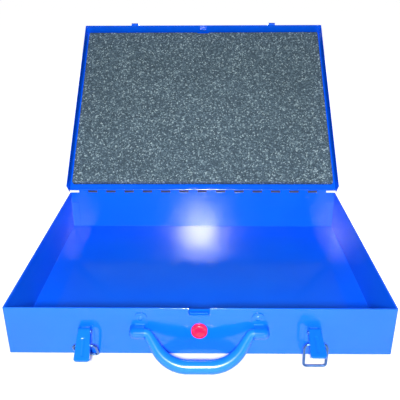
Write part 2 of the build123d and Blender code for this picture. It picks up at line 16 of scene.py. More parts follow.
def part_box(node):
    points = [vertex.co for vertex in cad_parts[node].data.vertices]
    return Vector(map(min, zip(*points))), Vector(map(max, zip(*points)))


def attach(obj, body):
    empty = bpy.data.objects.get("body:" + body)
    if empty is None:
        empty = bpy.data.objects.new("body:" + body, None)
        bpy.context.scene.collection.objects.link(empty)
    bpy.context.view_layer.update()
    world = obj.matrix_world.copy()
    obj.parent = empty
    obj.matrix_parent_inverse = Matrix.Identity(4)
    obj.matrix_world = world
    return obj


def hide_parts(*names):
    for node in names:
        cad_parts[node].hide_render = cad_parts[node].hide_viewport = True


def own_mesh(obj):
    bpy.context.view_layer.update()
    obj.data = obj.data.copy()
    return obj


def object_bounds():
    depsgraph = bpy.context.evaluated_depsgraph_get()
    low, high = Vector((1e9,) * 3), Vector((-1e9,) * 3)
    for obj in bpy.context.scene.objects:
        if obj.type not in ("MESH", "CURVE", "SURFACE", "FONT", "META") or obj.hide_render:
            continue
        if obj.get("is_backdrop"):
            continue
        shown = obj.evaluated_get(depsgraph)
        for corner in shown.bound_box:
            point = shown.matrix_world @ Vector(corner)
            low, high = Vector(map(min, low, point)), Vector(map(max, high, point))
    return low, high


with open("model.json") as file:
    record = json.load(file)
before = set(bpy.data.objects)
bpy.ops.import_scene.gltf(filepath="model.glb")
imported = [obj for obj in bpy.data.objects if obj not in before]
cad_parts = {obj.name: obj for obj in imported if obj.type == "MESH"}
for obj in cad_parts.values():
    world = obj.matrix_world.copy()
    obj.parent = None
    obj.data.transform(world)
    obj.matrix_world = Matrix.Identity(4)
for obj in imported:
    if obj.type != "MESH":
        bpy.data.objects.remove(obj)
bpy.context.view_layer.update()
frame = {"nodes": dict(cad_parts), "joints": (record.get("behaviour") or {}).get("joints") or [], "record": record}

# %% [markdown]
# ## Units and two small helpers
# The sizes of a case are easier to read in millimetres, and colours in the hex form that paint
# cards use. Blender wants metres and linear light, so a factor turns the sizes and a function the
# colours. A second function adds one shader or geometry node, sets its properties and links its
# inputs, for every node tree. Named sizes are in millimetres where nothing else is said.

# %% Helpers for sizes, colours and nodes
MM = 0.001


def paint(code):
    """Linear colour of an sRGB hex code such as 2a8cff, with full alpha."""
    shares = [int(code[i:i + 2], 16) / 255 for i in (0, 2, 4)]
    linear = [s / 12.92 if s <= 0.04045 else ((s + 0.055) / 1.055) ** 2.4 for s in shares]
    return (*linear, 1.0)


def add_node(tree, kind, inputs=None, **settings):
    """New node with its settings; an input given as an output socket becomes a link."""
    node = tree.nodes.new(kind)
    for name, value in settings.items():
        setattr(node, name, value)
    for name, value in (inputs or {}).items():
        if isinstance(value, bpy.types.NodeSocket):
            tree.links.new(value, node.inputs[name])
        else:
            node.inputs[name].default_value = value
    return node


print("paint card check, mid grey:", round(paint("bcbcbc")[0], 3))

# %% [markdown]
# ## The camera first
# The photograph was taken from in front of the handle, a little right of the middle, looking down
# at about 24 degrees. The place and the focal length come from the corners of the case: the one
# camera that puts all of them where the photograph has them. The picture is 400 by 400.

# %% Camera at the photograph's place
# Angles are in radians, the focal length is in pixels of the photograph and the nearest and
# farthest things seen are in metres.
camera_place = Vector((9.58, -666.25, 413.85)) * MM
camera_pitch = 0.41431
camera_yaw = -0.01608
camera_roll = -0.00521
focal_in_pixels = 546.43
picture_width = 400
sensor_width = 36.0
nearest_seen = 0.02
farthest_seen = 50

forward = Vector((math.sin(camera_yaw) * math.cos(camera_pitch),
                  math.cos(camera_yaw) * math.cos(camera_pitch), -math.sin(camera_pitch)))
level = Vector((math.cos(camera_yaw), -math.sin(camera_yaw), 0))
upward = level.cross(forward)
right = math.cos(camera_roll) * level + math.sin(camera_roll) * upward
above = -math.sin(camera_roll) * level + math.cos(camera_roll) * upward

camera = bpy.data.objects.new("camera", bpy.data.cameras.new("camera"))
bpy.context.scene.collection.objects.link(camera)
turn = Matrix((right, above, -forward)).transposed().to_4x4()
camera.matrix_world = Matrix.Translation(camera_place) @ turn
camera.data.sensor_width = sensor_width
camera.data.lens = focal_in_pixels * sensor_width / picture_width
camera.data.clip_start = nearest_seen
camera.data.clip_end = farthest_seen
bpy.context.scene.camera = camera
bpy.context.scene.view_settings.view_transform = "Standard"
print("lens in mm:", round(camera.data.lens, 2))

# %% [markdown]
# ## Powder coat
# The case is pressed from steel sheet and powder coated: a dry polymer powder is sprayed on and
# melted in an oven. It flows into a hard, even, fairly glossy skin with a faint orange peel, hills
# about two millimetres apart that break up reflections. The IOR is that of polyester, 1.55. Three
# noises do the work: a fine one as bump, and two slow ones that let the blue and the gloss drift a
# little.

# %% Powder coat material
noise_low = 0.3
noise_high = 0.7
tone_hills = 60.0
gloss_hills = 25.0
orange_peel = 2.0
polymer_ior = 1.55


def new_finish(name):
    """Empty material with a Principled shader; returns the material, its tree and the shader."""
    material = bpy.data.materials.new(name)
    material.use_nodes = True
    tree = material.node_tree
    shader = next(n for n in tree.nodes if n.type == "BSDF_PRINCIPLED")
    return material, tree, shader


def drift(tree, place, feature, low, high, detail=2.0):
    """Number that wanders between low and high over hills feature millimetres apart."""
    hills = add_node(tree, "ShaderNodeTexNoise",
                     {"Vector": place, "Scale": 1000 / feature, "Detail": detail})
    # A noise seldom leaves this middle span, so the span is stretched to the whole range.
    span = add_node(tree, "ShaderNodeMapRange",
                    {"Value": hills.outputs["Fac"], "From Min": noise_low, "From Max": noise_high,
                     "To Min": low, "To Max": high})
    return span.outputs["Result"]


def painted_finish(name, dark, light, gloss, peel):
    """Cured paint or moulded plastic: two close colours, roughness range, bump depth in mm."""
    material, tree, shader = new_finish(name)
    place = add_node(tree, "ShaderNodeTexCoord").outputs["Object"]
    mix = add_node(tree, "ShaderNodeMix",
                   {"Factor": drift(tree, place, tone_hills, 0.0, 1.0),
                    "A": paint(dark), "B": paint(light)}, data_type="RGBA")
    tree.links.new(mix.outputs["Result"], shader.inputs["Base Color"])
    tree.links.new(drift(tree, place, gloss_hills, *gloss), shader.inputs["Roughness"])
    bump = add_node(tree, "ShaderNodeBump",
                    {"Height": drift(tree, place, orange_peel, 0.0, 1.0),
                     "Distance": peel * MM, "Strength": 1.0})
    tree.links.new(bump.outputs["Normal"], shader.inputs["Normal"])
    shader.inputs["IOR"].default_value = polymer_ior
    return material


# Polyester powder coat, fairly glossy: an even saturated blue with soft-edged highlights.
blue_powder_coat = painted_finish("blue_polyester_powder_coat", "065be9", "085feb",
                                  (0.11, 0.15), 0.002)
print("made", blue_powder_coat.name)

# %% [markdown]
# ## Moulded plastics
# The grip is moulded in nearly the same blue as the case and the button in a clear red. Injection
# moulded plastic copies its mould, here one with a very fine spark-eroded grain. So the plastic is
# a little duller than the paint, and its highlights are wider.

# %% Plastic materials
# Moulded polyamide in the colour of the case: a wide soft highlight along the grip.
blue_plastic = painted_finish("blue_moulded_polyamide", "0d68ec", "106cee", (0.22, 0.28), 0.002)
# Moulded ABS, clear red: a small soft highlight on the cap.
red_plastic = painted_finish("red_moulded_abs", "ee1238", "f2173c", (0.2, 0.24), 0.001)
print("made", blue_plastic.name, red_plastic.name)

# %% [markdown]
# ## Zinc-plated and bright steel
# The bails and lever pins are drawn wire with a thin zinc plating, passivated to a cool grey-blue.
# Drawing leaves faint marks and plating small clouds of gloss. Metal keeps the default IOR: its
# reflection comes from the metallic colour. The hinge wire and the spring are bare drawn steel.

# %% Metal materials
drawing_marks = 0.6
drawing_depth = 0.01


def metal_finish(name, dark, light, gloss, cloud):
    """Bare or plated metal: two tones in clouds of this size in mm, and fine drawing marks."""
    material, tree, shader = new_finish(name)
    place = add_node(tree, "ShaderNodeTexCoord").outputs["Object"]
    mix = add_node(tree, "ShaderNodeMix",
                   {"Factor": drift(tree, place, cloud, 0.0, 1.0, 4.0),
                    "A": paint(dark), "B": paint(light)}, data_type="RGBA")
    tree.links.new(mix.outputs["Result"], shader.inputs["Base Color"])
    tree.links.new(drift(tree, place, cloud / 3, *gloss), shader.inputs["Roughness"])
    bump = add_node(tree, "ShaderNodeBump",
                    {"Height": drift(tree, place, drawing_marks, 0.0, 1.0, 6.0),
                     "Distance": drawing_depth * MM})
    tree.links.new(bump.outputs["Normal"], shader.inputs["Normal"])
    shader.inputs["Metallic"].default_value = 1.0
    return material


# Zinc plating with a blue passivation: cool grey-blue, soft highlight.
zinc_plated_steel = metal_finish("blue_passivated_zinc_plating", "44699a", "5f86b4",
                                 (0.28, 0.4), 4.0)
# Bright drawn wire: pale grey and smooth.
bright_steel_pin = metal_finish("bright_drawn_steel_wire", "a4a8ad", "b8bcc0", (0.22, 0.3), 6.0)
# Hard-drawn spring wire: darker, slightly brown grey.
spring_steel = metal_finish("patented_spring_wire", "6e6c6a", "86837f", (0.3, 0.4), 3.0)
print("made", zinc_plated_steel.name, bright_steel_pin.name, spring_steel.name)

# %% [markdown]
# ## Recycled foam
# The mat in the lid is rebonded foam: dark grey offcuts, chopped and pressed together with lighter
# crumbs in between. The crumbs are one to two millimetres across, about a pixel of the picture. A
# Voronoi texture gives each crumb one random number, and a colour ramp makes most of them dark and
# a few light.

# %% Foam material
crumb_size = 1.8
wobble_size = crumb_size * 0.8
wobble_reach = crumb_size * MM * 1.2
patch_size = 60.0
pore_size = 1.2
pore_depth = 0.4
foam_roughness = 0.95
foam_ior = 1.4
foam_shine = 0.15
foam_tones = ((0.0, "384751"), (0.4, "495a66"), (0.75, "566975"),
              (0.9, "768b95"), (1.0, "a8bcc0"))

grey_foam, foam_tree, foam_shader = new_finish("grey_rebonded_foam")
foam_place = add_node(foam_tree, "ShaderNodeTexCoord").outputs["Object"]
wobble = add_node(foam_tree, "ShaderNodeTexNoise",
                  {"Vector": foam_place, "Scale": 1000 / wobble_size, "Detail": 2.0})
shift = add_node(foam_tree, "ShaderNodeVectorMath",
                 {0: wobble.outputs["Color"], 1: (wobble_reach,) * 3}, operation="MULTIPLY")
shifted = add_node(foam_tree, "ShaderNodeVectorMath",
                   {0: foam_place, 1: shift.outputs["Vector"]}, operation="ADD")
crumbs = add_node(foam_tree, "ShaderNodeTexVoronoi",
                  {"Vector": shifted.outputs["Vector"], "Scale": 1000 / crumb_size})
crumb_number = add_node(foam_tree, "ShaderNodeSeparateColor", {"Color": crumbs.outputs["Color"]})
crumb_tone = add_node(foam_tree, "ShaderNodeValToRGB", {"Fac": crumb_number.outputs["Red"]})
ramp = crumb_tone.color_ramp
while len(ramp.elements) < len(foam_tones):
    ramp.elements.new(0.5)
for stop, (position, code) in zip(ramp.elements, foam_tones):
    stop.position = position
    stop.color = paint(code)
patch = drift(foam_tree, foam_place, patch_size, 0.93, 1.05, 3.0)
tone = add_node(foam_tree, "ShaderNodeVectorMath",
                {0: crumb_tone.outputs["Color"], "Scale": patch}, operation="SCALE")
foam_tree.links.new(tone.outputs["Vector"], foam_shader.inputs["Base Color"])
pores = add_node(foam_tree, "ShaderNodeBump",
                 {"Height": drift(foam_tree, foam_place, pore_size, 0.0, 1.0, 4.0),
                  "Distance": pore_depth * MM})
foam_tree.links.new(pores.outputs["Normal"], foam_shader.inputs["Normal"])
foam_shader.inputs["Roughness"].default_value = foam_roughness
foam_shader.inputs["IOR"].default_value = foam_ior
foam_shader.inputs["Specular IOR Level"].default_value = foam_shine
print("foam crumbs of", crumb_size, "mm in", len(foam_tones), "tones")

# %% [markdown]
# ## Paint the CAD pieces
# The record says which material slot each CAD piece takes. The piece keeps its mesh and only its
# slot's material is exchanged for the richer one made above.

# %% Give every CAD piece its finish
finishes = {"blue_powder_coat": blue_powder_coat, "blue_plastic": blue_plastic,
            "red_plastic": red_plastic, "grey_foam": grey_foam,
            "zinc_plated_steel": zinc_plated_steel, "bright_steel_pin": bright_steel_pin,
            "spring_steel": spring_steel}
for part in frame["record"]["subparts"]:
    piece = frame["nodes"][part["node"]]
    for material_slot in piece.material_slots:
        material_slot.material = finishes[part["material_slot"]]

# %% [markdown]
# ## Turning node trees into plain pieces
# Bars, wires and rivets are built by Geometry Nodes from bare lines and points. The export can't
# take a live modifier tree, so each result is evaluated once, kept as a plain mesh, and the line
# or the points it came from are removed.

# %% Helpers for pieces
# The weld distance is in metres and the crease angle in degrees.
weld_distance = 1e-6
crease_angle = 40.0
joints = {joint["name"]: joint for joint in frame["joints"]}


def new_piece(name, mesh, material):
    """Smooth object at the origin with this mesh and material, its faces turned outwards."""
    shape = bmesh.new()
    shape.from_mesh(mesh)
    bmesh.ops.remove_doubles(shape, verts=shape.verts, dist=weld_distance)
    bmesh.ops.recalc_face_normals(shape, faces=shape.faces)
    shape.to_mesh(mesh)
    shape.free()
    mesh.materials.clear()
    mesh.materials.append(material)
    mesh.polygons.foreach_set("use_smooth", [True] * len(mesh.polygons))
    piece = bpy.data.objects.new(name, mesh)
    bpy.context.scene.collection.objects.link(piece)
    return piece


def evaluate(name, source, tree, values, material):
    """Run a geometry tree on a source object and keep the result as a new plain piece."""
    modifier = source.modifiers.new("nodes", "NODES")
    modifier.node_group = tree
    for socket in tree.interface.items_tree:
        if socket.in_out == "INPUT" and socket.name in values:
            modifier[socket.identifier] = values[socket.name]
    graph = bpy.context.evaluated_depsgraph_get()
    mesh = bpy.data.meshes.new_from_object(source.evaluated_get(graph))
    mesh.name = name
    source.modifiers.remove(modifier)
    bpy.data.objects.remove(source)
    return new_piece(name, mesh, material)


def sharpen(piece):
    """Keep crisp edges crisp while round faces shade smoothly."""
    piece.data.set_sharp_from_angle(angle=math.radians(crease_angle))
    return piece


def compare(piece, node):
    """Print how far a piece's box differs from the CAD node it stands for, in millimetres."""
    low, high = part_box(node)
    corners = [vertex.co for vertex in piece.data.vertices]
    piece_low = Vector([min(c[i] for c in corners) for i in range(3)])
    piece_high = Vector([max(c[i] for c in corners) for i in range(3)])
    gaps = [round(v * 1000, 2) for v in (*(piece_low - low), *(piece_high - high))]
    print(piece.name, "against", node, gaps, "faces", len(piece.data.polygons))


print("joints in the frame:", *joints)

# %% [markdown]
# ## How every tree begins and ends
# A geometry tree is a small machine: named inputs go in and one geometry comes out. The three
# trees below begin alike, with their inputs, and end alike: instances are made real, because the
# export drops them, and the faces get their finish. Two functions do that once for all.

# %% Helpers for geometry trees
def start_tree(name, inputs, output):
    """Geometry tree with these inputs and one output; returns the tree and its input sockets."""
    tree = bpy.data.node_groups.new(name, "GeometryNodeTree")
    for label, kind in inputs:
        tree.interface.new_socket(name=label, in_out="INPUT", socket_type="NodeSocket" + kind)
    tree.interface.new_socket(name=output, in_out="OUTPUT", socket_type="NodeSocketGeometry")
    return tree, add_node(tree, "NodeGroupInput").outputs


def end_tree(tree, geometry, finish, output):
    """Make instances real, give the faces their finish and send the geometry to the output."""
    whole = add_node(tree, "GeometryNodeRealizeInstances", {"Geometry": geometry})
    finished = add_node(tree, "GeometryNodeSetMaterial",
                        {"Geometry": whole.outputs["Geometry"], "Material": finish})
    add_node(tree, "NodeGroupOutput", {output: finished.outputs["Geometry"]})
    print(tree.name, "tree with", len(tree.nodes), "nodes")


print("tree helpers:", start_tree.__name__, end_tree.__name__)

# %% [markdown]
# ## One tree for every bent bar
# The handle is a bent bar that swells towards the grip, and the bails are bent wire. Both start as
# a few corner points joined by straight runs, as a bending drawing gives them, with a bend radius
# at each corner. The tree rounds the corners, walks along the line in even steps, sets the bar's
# radius and sweeps a circle along it. A sweep keeps the section round through each bend, which a
# row of stretched cylinders would not.

# %% Geometry tree that bends a bar
bend_steps = 24
bend_tree, given = start_tree(
    "bent_bar", (("Line", "Geometry"), ("End radius", "Float"), ("Middle radius", "Float"),
                 ("Swell start", "Vector"), ("Swell direction", "Vector"),
                 ("Swell reach", "Float"), ("Step", "Float"), ("Sides", "Int"),
                 ("Finish", "Material")), "Bar")
line = add_node(bend_tree, "GeometryNodeMeshToCurve", {"Mesh": given["Line"]})
corner_radius = add_node(bend_tree, "GeometryNodeInputNamedAttribute", {"Name": "corner_radius"},
                         data_type="FLOAT")
rounded = add_node(bend_tree, "GeometryNodeFilletCurve",
                   {"Curve": line.outputs["Curve"], "Count": bend_steps,
                    "Radius": corner_radius.outputs["Attribute"], "Limit Radius": True},
                   mode="POLY")
stepped = add_node(bend_tree, "GeometryNodeResampleCurve",
                   {"Curve": rounded.outputs["Curve"], "Length": given["Step"]}, mode="LENGTH")
along_bar = add_node(bend_tree, "GeometryNodeInputPosition")
from_start = add_node(bend_tree, "ShaderNodeVectorMath",
                      {0: along_bar.outputs["Position"], 1: given["Swell start"]},
                      operation="SUBTRACT")
drop_share = add_node(bend_tree, "ShaderNodeVectorMath",
                      {0: from_start.outputs["Vector"], 1: given["Swell direction"]},
                      operation="DOT_PRODUCT")
bar_radius = add_node(bend_tree, "ShaderNodeMapRange",
                      {"Value": drop_share.outputs["Value"], "From Max": given["Swell reach"],
                       "To Min": given["End radius"], "To Max": given["Middle radius"]})
ring = add_node(bend_tree, "GeometryNodeCurvePrimitiveCircle",
                {"Resolution": given["Sides"], "Radius": 1.0})
swept = add_node(bend_tree, "GeometryNodeCurveToMesh",
                 {"Curve": stepped.outputs["Curve"], "Profile Curve": ring.outputs["Curve"],
                  "Scale": bar_radius.outputs["Result"], "Fill Caps": True})
end_tree(bend_tree, swept.outputs["Mesh"], given["Finish"], "Bar")

# %% [markdown]
# ## From a plan to a bar
# A plan lists corner points of one half: sideways place, drop below the pivot and bend radius.
# The other half is its mirror image. The points become a bare line in the direction the bar hangs,
# and the tree turns that line into the bar.

# %% Helpers that follow a plan
def bending_line(name, corners, radii):
    """Bare line through the corners, in metres, that remembers the bend radius at each corner."""
    mesh = bpy.data.meshes.new(name)
    mesh.from_pydata(corners, [(i, i + 1) for i in range(len(corners) - 1)], [])
    mesh.attributes.new("corner_radius", "FLOAT", "POINT").data.foreach_set("value", radii)
    line_object = bpy.data.objects.new(name, mesh)
    bpy.context.scene.collection.objects.link(line_object)
    return line_object


def mirrored(half):
    """Corner points (x, drop, bend radius) of one half, followed by their mirror image."""
    return list(half) + [(-x, drop, radius) for x, drop, radius in reversed(half)]


def bent_piece(name, plan, pivot, down, radii, step, sides, reach, material):
    """Bar through plan corners hung from a pivot; radii, in mm, at its ends and full reach."""
    corners = [pivot + Vector((x, 0, 0)) * MM + down * (drop * MM) for x, drop, _ in plan]
    source = bending_line(name + "_line", corners, [radius * MM for _, _, radius in plan])
    values = {"End radius": radii[0] * MM, "Middle radius": radii[1] * MM,
              "Swell start": pivot, "Swell direction": down, "Swell reach": reach * MM,
              "Step": step * MM, "Sides": sides, "Finish": material}
    return sharpen(evaluate(name, source, bend_tree, values, material))


print("mirror helper on one corner:", mirrored([(1.0, 2.0, 0.5)]))

# %% [markdown]
# ## The carrying handle
# A straight stub at each end turns in a saddle. From there the bar bends down and runs into a
# thick grip with wide round corners. At rest it lies outwards with the grip on the table, about 41
# degrees from hanging straight down; that angle follows from the pivot's height and the grip's
# radius.

# %% Bend the handle
front_wall = -164.0
handle_pivot_proud = 7.6
handle_pivot_height = 35.0
handle_reach = 35.8
stub_radius = 5.1
grip_radius = 7.9
stub_end = 71.9
elbow_x = 57.4
elbow_radius = 6.2
grip_corner_x = 35.0
grip_corner_radius = 41.0
grip_step = 1.2
grip_sides = 48
table_gap = 0.2
handle_pivot = Vector((0.0, front_wall - handle_pivot_proud, handle_pivot_height)) * MM
handle_angle = math.acos((handle_pivot.z / MM - grip_radius - table_gap) / handle_reach)
handle_down = Vector((0.0, -math.sin(handle_angle), -math.cos(handle_angle)))
handle_plan = mirrored([(stub_end, 0.0, 0.0), (elbow_x, 0.0, elbow_radius),
                        (grip_corner_x, handle_reach, grip_corner_radius)])
grip = bent_piece("carrying_handle", handle_plan, handle_pivot, handle_down,
                  (stub_radius, grip_radius), grip_step, grip_sides, handle_reach, blue_plastic)
compare(grip, "handle")
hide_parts("handle")
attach(grip, "handle")

# %% [markdown]
# ## The two bails
# Each latch pulls the lid down with a loop of 2.8 mm wire. Its ends turn inwards through holes in
# the lever's sides. The loops come from the same tree as the handle, hung from the place where the
# record says their pivots are: the right one straight down to the table, the left one leaning back
# against the wall.

# %% Bend the bails
wire_radius = 1.4
wire_step = 0.4
wire_sides = 24
bail_length = 28.309
# Degrees from hanging straight down; below zero is towards the wall.
bail_leans = {"left": -32.61, "right": 0.0}
# (x, drop, bend radius) at the inner end, the elbow, the widest place and the foot of the loop.
bail_plan = mirrored([(5.88, 0.0, 0.0), (9.98, 0.0, 1.8), (12.6, 4.5, 2.5),
                      (12.2, bail_length, 3.5)])
for word, lean in bail_leans.items():
    pivot = Vector(joints[f"{word}_bail_pivot"]["pos_m"])
    swing = math.radians(lean)
    down = Vector((0.0, -math.sin(swing), -math.cos(swing)))
    bail = bent_piece(f"wire_bail_{word}", bail_plan, pivot, down, (wire_radius, wire_radius),
                      wire_step, wire_sides, bail_length, zinc_plated_steel)
    compare(bail, f"latch_bail_{word}")
    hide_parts(f"latch_bail_{word}")
    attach(bail, f"{word}_bail")

# %% [markdown]
# ## Turned shapes: rivets and the push button
# Rivets and the button are round about one axis, so each is the outline of half a section spun
# once round. Spinning welds the last copy to the first, and the points on the axis close into
# poles.

# %% Helper that spins an outline
def spun_mesh(name, outline, steps):
    """Closed mesh from (radius, height) points in mm, spun about Z."""
    shape = bmesh.new()
    points = [shape.verts.new((radius * MM, 0.0, height * MM)) for radius, height in outline]
    edges = [shape.edges.new(pair) for pair in zip(points, points[1:])]
    bmesh.ops.spin(shape, geom=points + edges, cent=(0, 0, 0), axis=(0, 0, 1),
                   angle=math.tau, steps=steps, use_merge=True)
    bmesh.ops.remove_doubles(shape, verts=shape.verts, dist=weld_distance)
    bmesh.ops.recalc_face_normals(shape, faces=shape.faces)
    mesh = bpy.data.meshes.new(name)
    shape.to_mesh(mesh)
    shape.free()
    return mesh


def arc(centre, radius, start, end, count):
    """Points (radius, height) on a circular arc, angles in degrees from the radial direction."""
    angles = [math.radians(start + (end - start) * i / count) for i in range(count + 1)]
    return [(centre[0] + radius * math.cos(a), centre[1] + radius * math.sin(a)) for a in angles]


quarter = arc((0, 0), 1, 0, 90, 2)
print("quarter circle in two steps:", [(round(x, 2), round(y, 2)) for x, y in quarter])

# %% [markdown]
# ## Rivets
# The rivets are set by machine: a domed head outside, a shank through the stack and a flat tail
# inside. The saddles need two and the latch plates four. A small tree places one rivet on each
# point of a bare mesh and turns it to face forwards, so a new rivet is one more point.

# %% Geometry tree that sets rivets
rivet_tree, given = start_tree(
    "set_rivets", (("Places", "Geometry"), ("Rivet", "Object"), ("Turn", "Float"),
                   ("Finish", "Material")), "Rivets")
rivet_shape = add_node(rivet_tree, "GeometryNodeObjectInfo", {"Object": given["Rivet"]})
tilt = add_node(rivet_tree, "ShaderNodeCombineXYZ", {"X": given["Turn"]})
copies = add_node(rivet_tree, "GeometryNodeInstanceOnPoints",
                  {"Points": given["Places"], "Instance": rivet_shape.outputs["Geometry"],
                   "Rotation": tilt.outputs["Vector"]})
end_tree(rivet_tree, copies.outputs["Instances"], given["Finish"], "Rivets")

# %% Rivet sizes
rivet_head_radius = 3.0
rivet_head_height = 1.0
shank_radius = 1.6
tail_radius = 2.4
tail_height = 0.8
rivet_sides = 32
dome_steps = 8
wall_sheet = 0.8
saddle_sheet = 1.4
latch_plate = 1.0
saddle_rivet_x = 65.2
latch_rivet_x = 127.4
latch_rivet_heights = (24.5, 16.5)
dome_radius = (rivet_head_radius ** 2 + rivet_head_height ** 2) / (2 * rivet_head_height)
dome_edge = math.degrees(math.asin((dome_radius - rivet_head_height) / dome_radius))
print("rivet dome radius in mm:", round(dome_radius, 2))

# %% Set the rivets
def set_rivets(name, node, stack, places):
    """Group of equal rivets that hold a stack of sheets; places are (x, z) in mm."""
    dome = arc((0, rivet_head_height - dome_radius), dome_radius, 90, dome_edge, dome_steps)
    outline = [*dome, (shank_radius, 0), (shank_radius, -stack), (tail_radius, -stack),
               (tail_radius, -stack - tail_height), (0, -stack - tail_height)]
    one = bpy.data.objects.new(name + "_one", spun_mesh(name + "_one", outline, rivet_sides))
    seats = bpy.data.meshes.new(name + "_seats")
    face = front_wall - (stack - wall_sheet)
    seats.from_pydata([Vector((x, face, z)) * MM for x, z in places], [], [])
    source = bpy.data.objects.new(name + "_seats", seats)
    for helper in (one, source):
        bpy.context.scene.collection.objects.link(helper)
    group = evaluate(name, source, rivet_tree,
                     {"Rivet": one, "Turn": math.radians(90), "Finish": blue_powder_coat},
                     blue_powder_coat)
    bpy.data.objects.remove(one)
    sharpen(group)
    compare(group, node)
    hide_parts(node)
    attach(group, "base")


saddle_rivet_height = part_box("saddle_rivets")[0].z / MM + rivet_head_radius
set_rivets("domed_saddle_rivets", "saddle_rivets", saddle_sheet + wall_sheet,
           [(x, saddle_rivet_height) for x in (-saddle_rivet_x, saddle_rivet_x)])
set_rivets("domed_latch_rivets", "latch_rivets", latch_plate + wall_sheet,
           [(x, z) for x in (-latch_rivet_x, latch_rivet_x) for z in latch_rivet_heights])

# %% [markdown]
# ## The push button
# The cap is a red disc with a rounded rim and a shallow dish for the finger. Behind the wall it
# has a flange, which stops it from falling out, and a stem that pushes the catch plate.

# %% Button sizes
button_height = 33.5
button_radius = 9.0
button_rim_round = 1.6
button_proud = 4.6
button_sides = 64
dish_edge = 5.4
dish_depth = 0.7
flange_start = -1.0
flange_radius = 10.6
flange_sheet = 1.2
stem_radius = 3.0
stem_length = 3.6
arc_steps = 10
flange_end = flange_start - flange_sheet
print("button length in mm:", round(button_proud - flange_end + stem_length, 2))

# %% Spin the push button
dish_radius = (dish_edge ** 2 + dish_depth ** 2) / (2 * dish_depth)
dish_half = math.degrees(math.asin(dish_edge / dish_radius))
dish = arc((0, button_proud - dish_depth + dish_radius), dish_radius, -90, -90 + dish_half,
           arc_steps)
rim = arc((button_radius - button_rim_round, button_proud - button_rim_round), button_rim_round,
          90, 0, arc_steps)
button_outline = [*dish, *rim, (button_radius, flange_start), (flange_radius, flange_start),
                  (flange_radius, flange_end), (stem_radius, flange_end),
                  (stem_radius, flange_end - stem_length), (0, flange_end - stem_length)]
button_mesh = spun_mesh("button_cap", button_outline, button_sides)
button_mesh.transform(Matrix.Translation(Vector((0, front_wall, button_height)) * MM)
                      @ Matrix.Rotation(math.radians(90), 4, "X"))
button = sharpen(new_piece("button_cap", button_mesh, red_plastic))
compare(button, "push_button")
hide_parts("push_button")
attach(button, "button")

# %% [markdown]
# ## The return spring
# Between the catch plate and the back of its housing sits a small coil spring. It is a spiral with
# no change of radius, so the spiral primitive draws its line and a circle is swept along it. When
# the button is pressed the coil shortens towards the housing.

# %% Geometry tree that winds a coil
coil_steps = 36
coil_sides = 16
# A spiral needs no line to start from, but a modifier hands its object's mesh to the tree.
coil_tree, given = start_tree(
    "coil", (("Unused line", "Geometry"), ("Turns", "Float"), ("Mean radius", "Float"),
             ("Length", "Float"), ("Wire radius", "Float"), ("Finish", "Material")), "Coil")
spiral = add_node(coil_tree, "GeometryNodeCurveSpiral",
                  {"Resolution": coil_steps, "Rotations": given["Turns"],
                   "Start Radius": given["Mean radius"], "End Radius": given["Mean radius"],
                   "Height": given["Length"]})
wire_ring = add_node(coil_tree, "GeometryNodeCurvePrimitiveCircle",
                     {"Resolution": coil_sides, "Radius": 1.0})
wound = add_node(coil_tree, "GeometryNodeCurveToMesh",
                 {"Curve": spiral.outputs["Curve"], "Profile Curve": wire_ring.outputs["Curve"],
                  "Scale": given["Wire radius"], "Fill Caps": True})
end_tree(coil_tree, wound.outputs["Mesh"], given["Finish"], "Coil")

# %% Wind the return spring
spring_turns = 5.0
spring_wire = 0.8
spring_low, spring_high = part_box("catch_spring")
spring_mean_radius = (spring_high.x - spring_low.x) / 2 / MM - spring_wire / 2
spring_length = (spring_high.y - spring_low.y) / MM - spring_wire

coil_source = bpy.data.objects.new("coil_source", bpy.data.meshes.new("coil_source"))
bpy.context.scene.collection.objects.link(coil_source)
spring = evaluate("return_spring", coil_source, coil_tree,
                  {"Turns": spring_turns, "Mean radius": spring_mean_radius * MM,
                   "Length": spring_length * MM, "Wire radius": spring_wire / 2 * MM,
                   "Finish": spring_steel}, spring_steel)
spring_middle = (spring_low + spring_high) / 2
spring_seat = Vector((spring_middle.x, spring_high.y - spring_wire / 2 * MM, spring_middle.z))
spring.data.transform(Matrix.Translation(spring_seat)
                      @ Matrix.Rotation(math.radians(90), 4, "X"))
compare(spring, "catch_spring")
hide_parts("catch_spring")
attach(spring, "base")
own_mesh(spring)

# %% [markdown]
# ## The foam mat
# A foam mat is cut from a block, so its faces are flat but never sharp: the cut opens the cells,
# and the edges round off by a millimetre or two. The mat is glued down, carries no load and keeps
# its cut shape, so a cloth simulation would change nothing. Instead the CAD solid is copied,
# turned to the closed lid where its sides line up with the axes, remeshed into small even cells,
# and its open faces are roughened by a fixed noise. Then it is turned back to the open lid.

# %% Cut the foam mat
foam_cell = 2.4
crumb_relief = 0.45
hill_size = 9
glue_margin = 1.5
hinge = joints["lid_hinge"]
hinge_place = Matrix.Translation(hinge["pos_m"])
lid_turn = math.radians(hinge["range_deg"][1])
close_lid = hinge_place @ Matrix.Rotation(lid_turn, 4, hinge["axis"]) @ hinge_place.inverted()

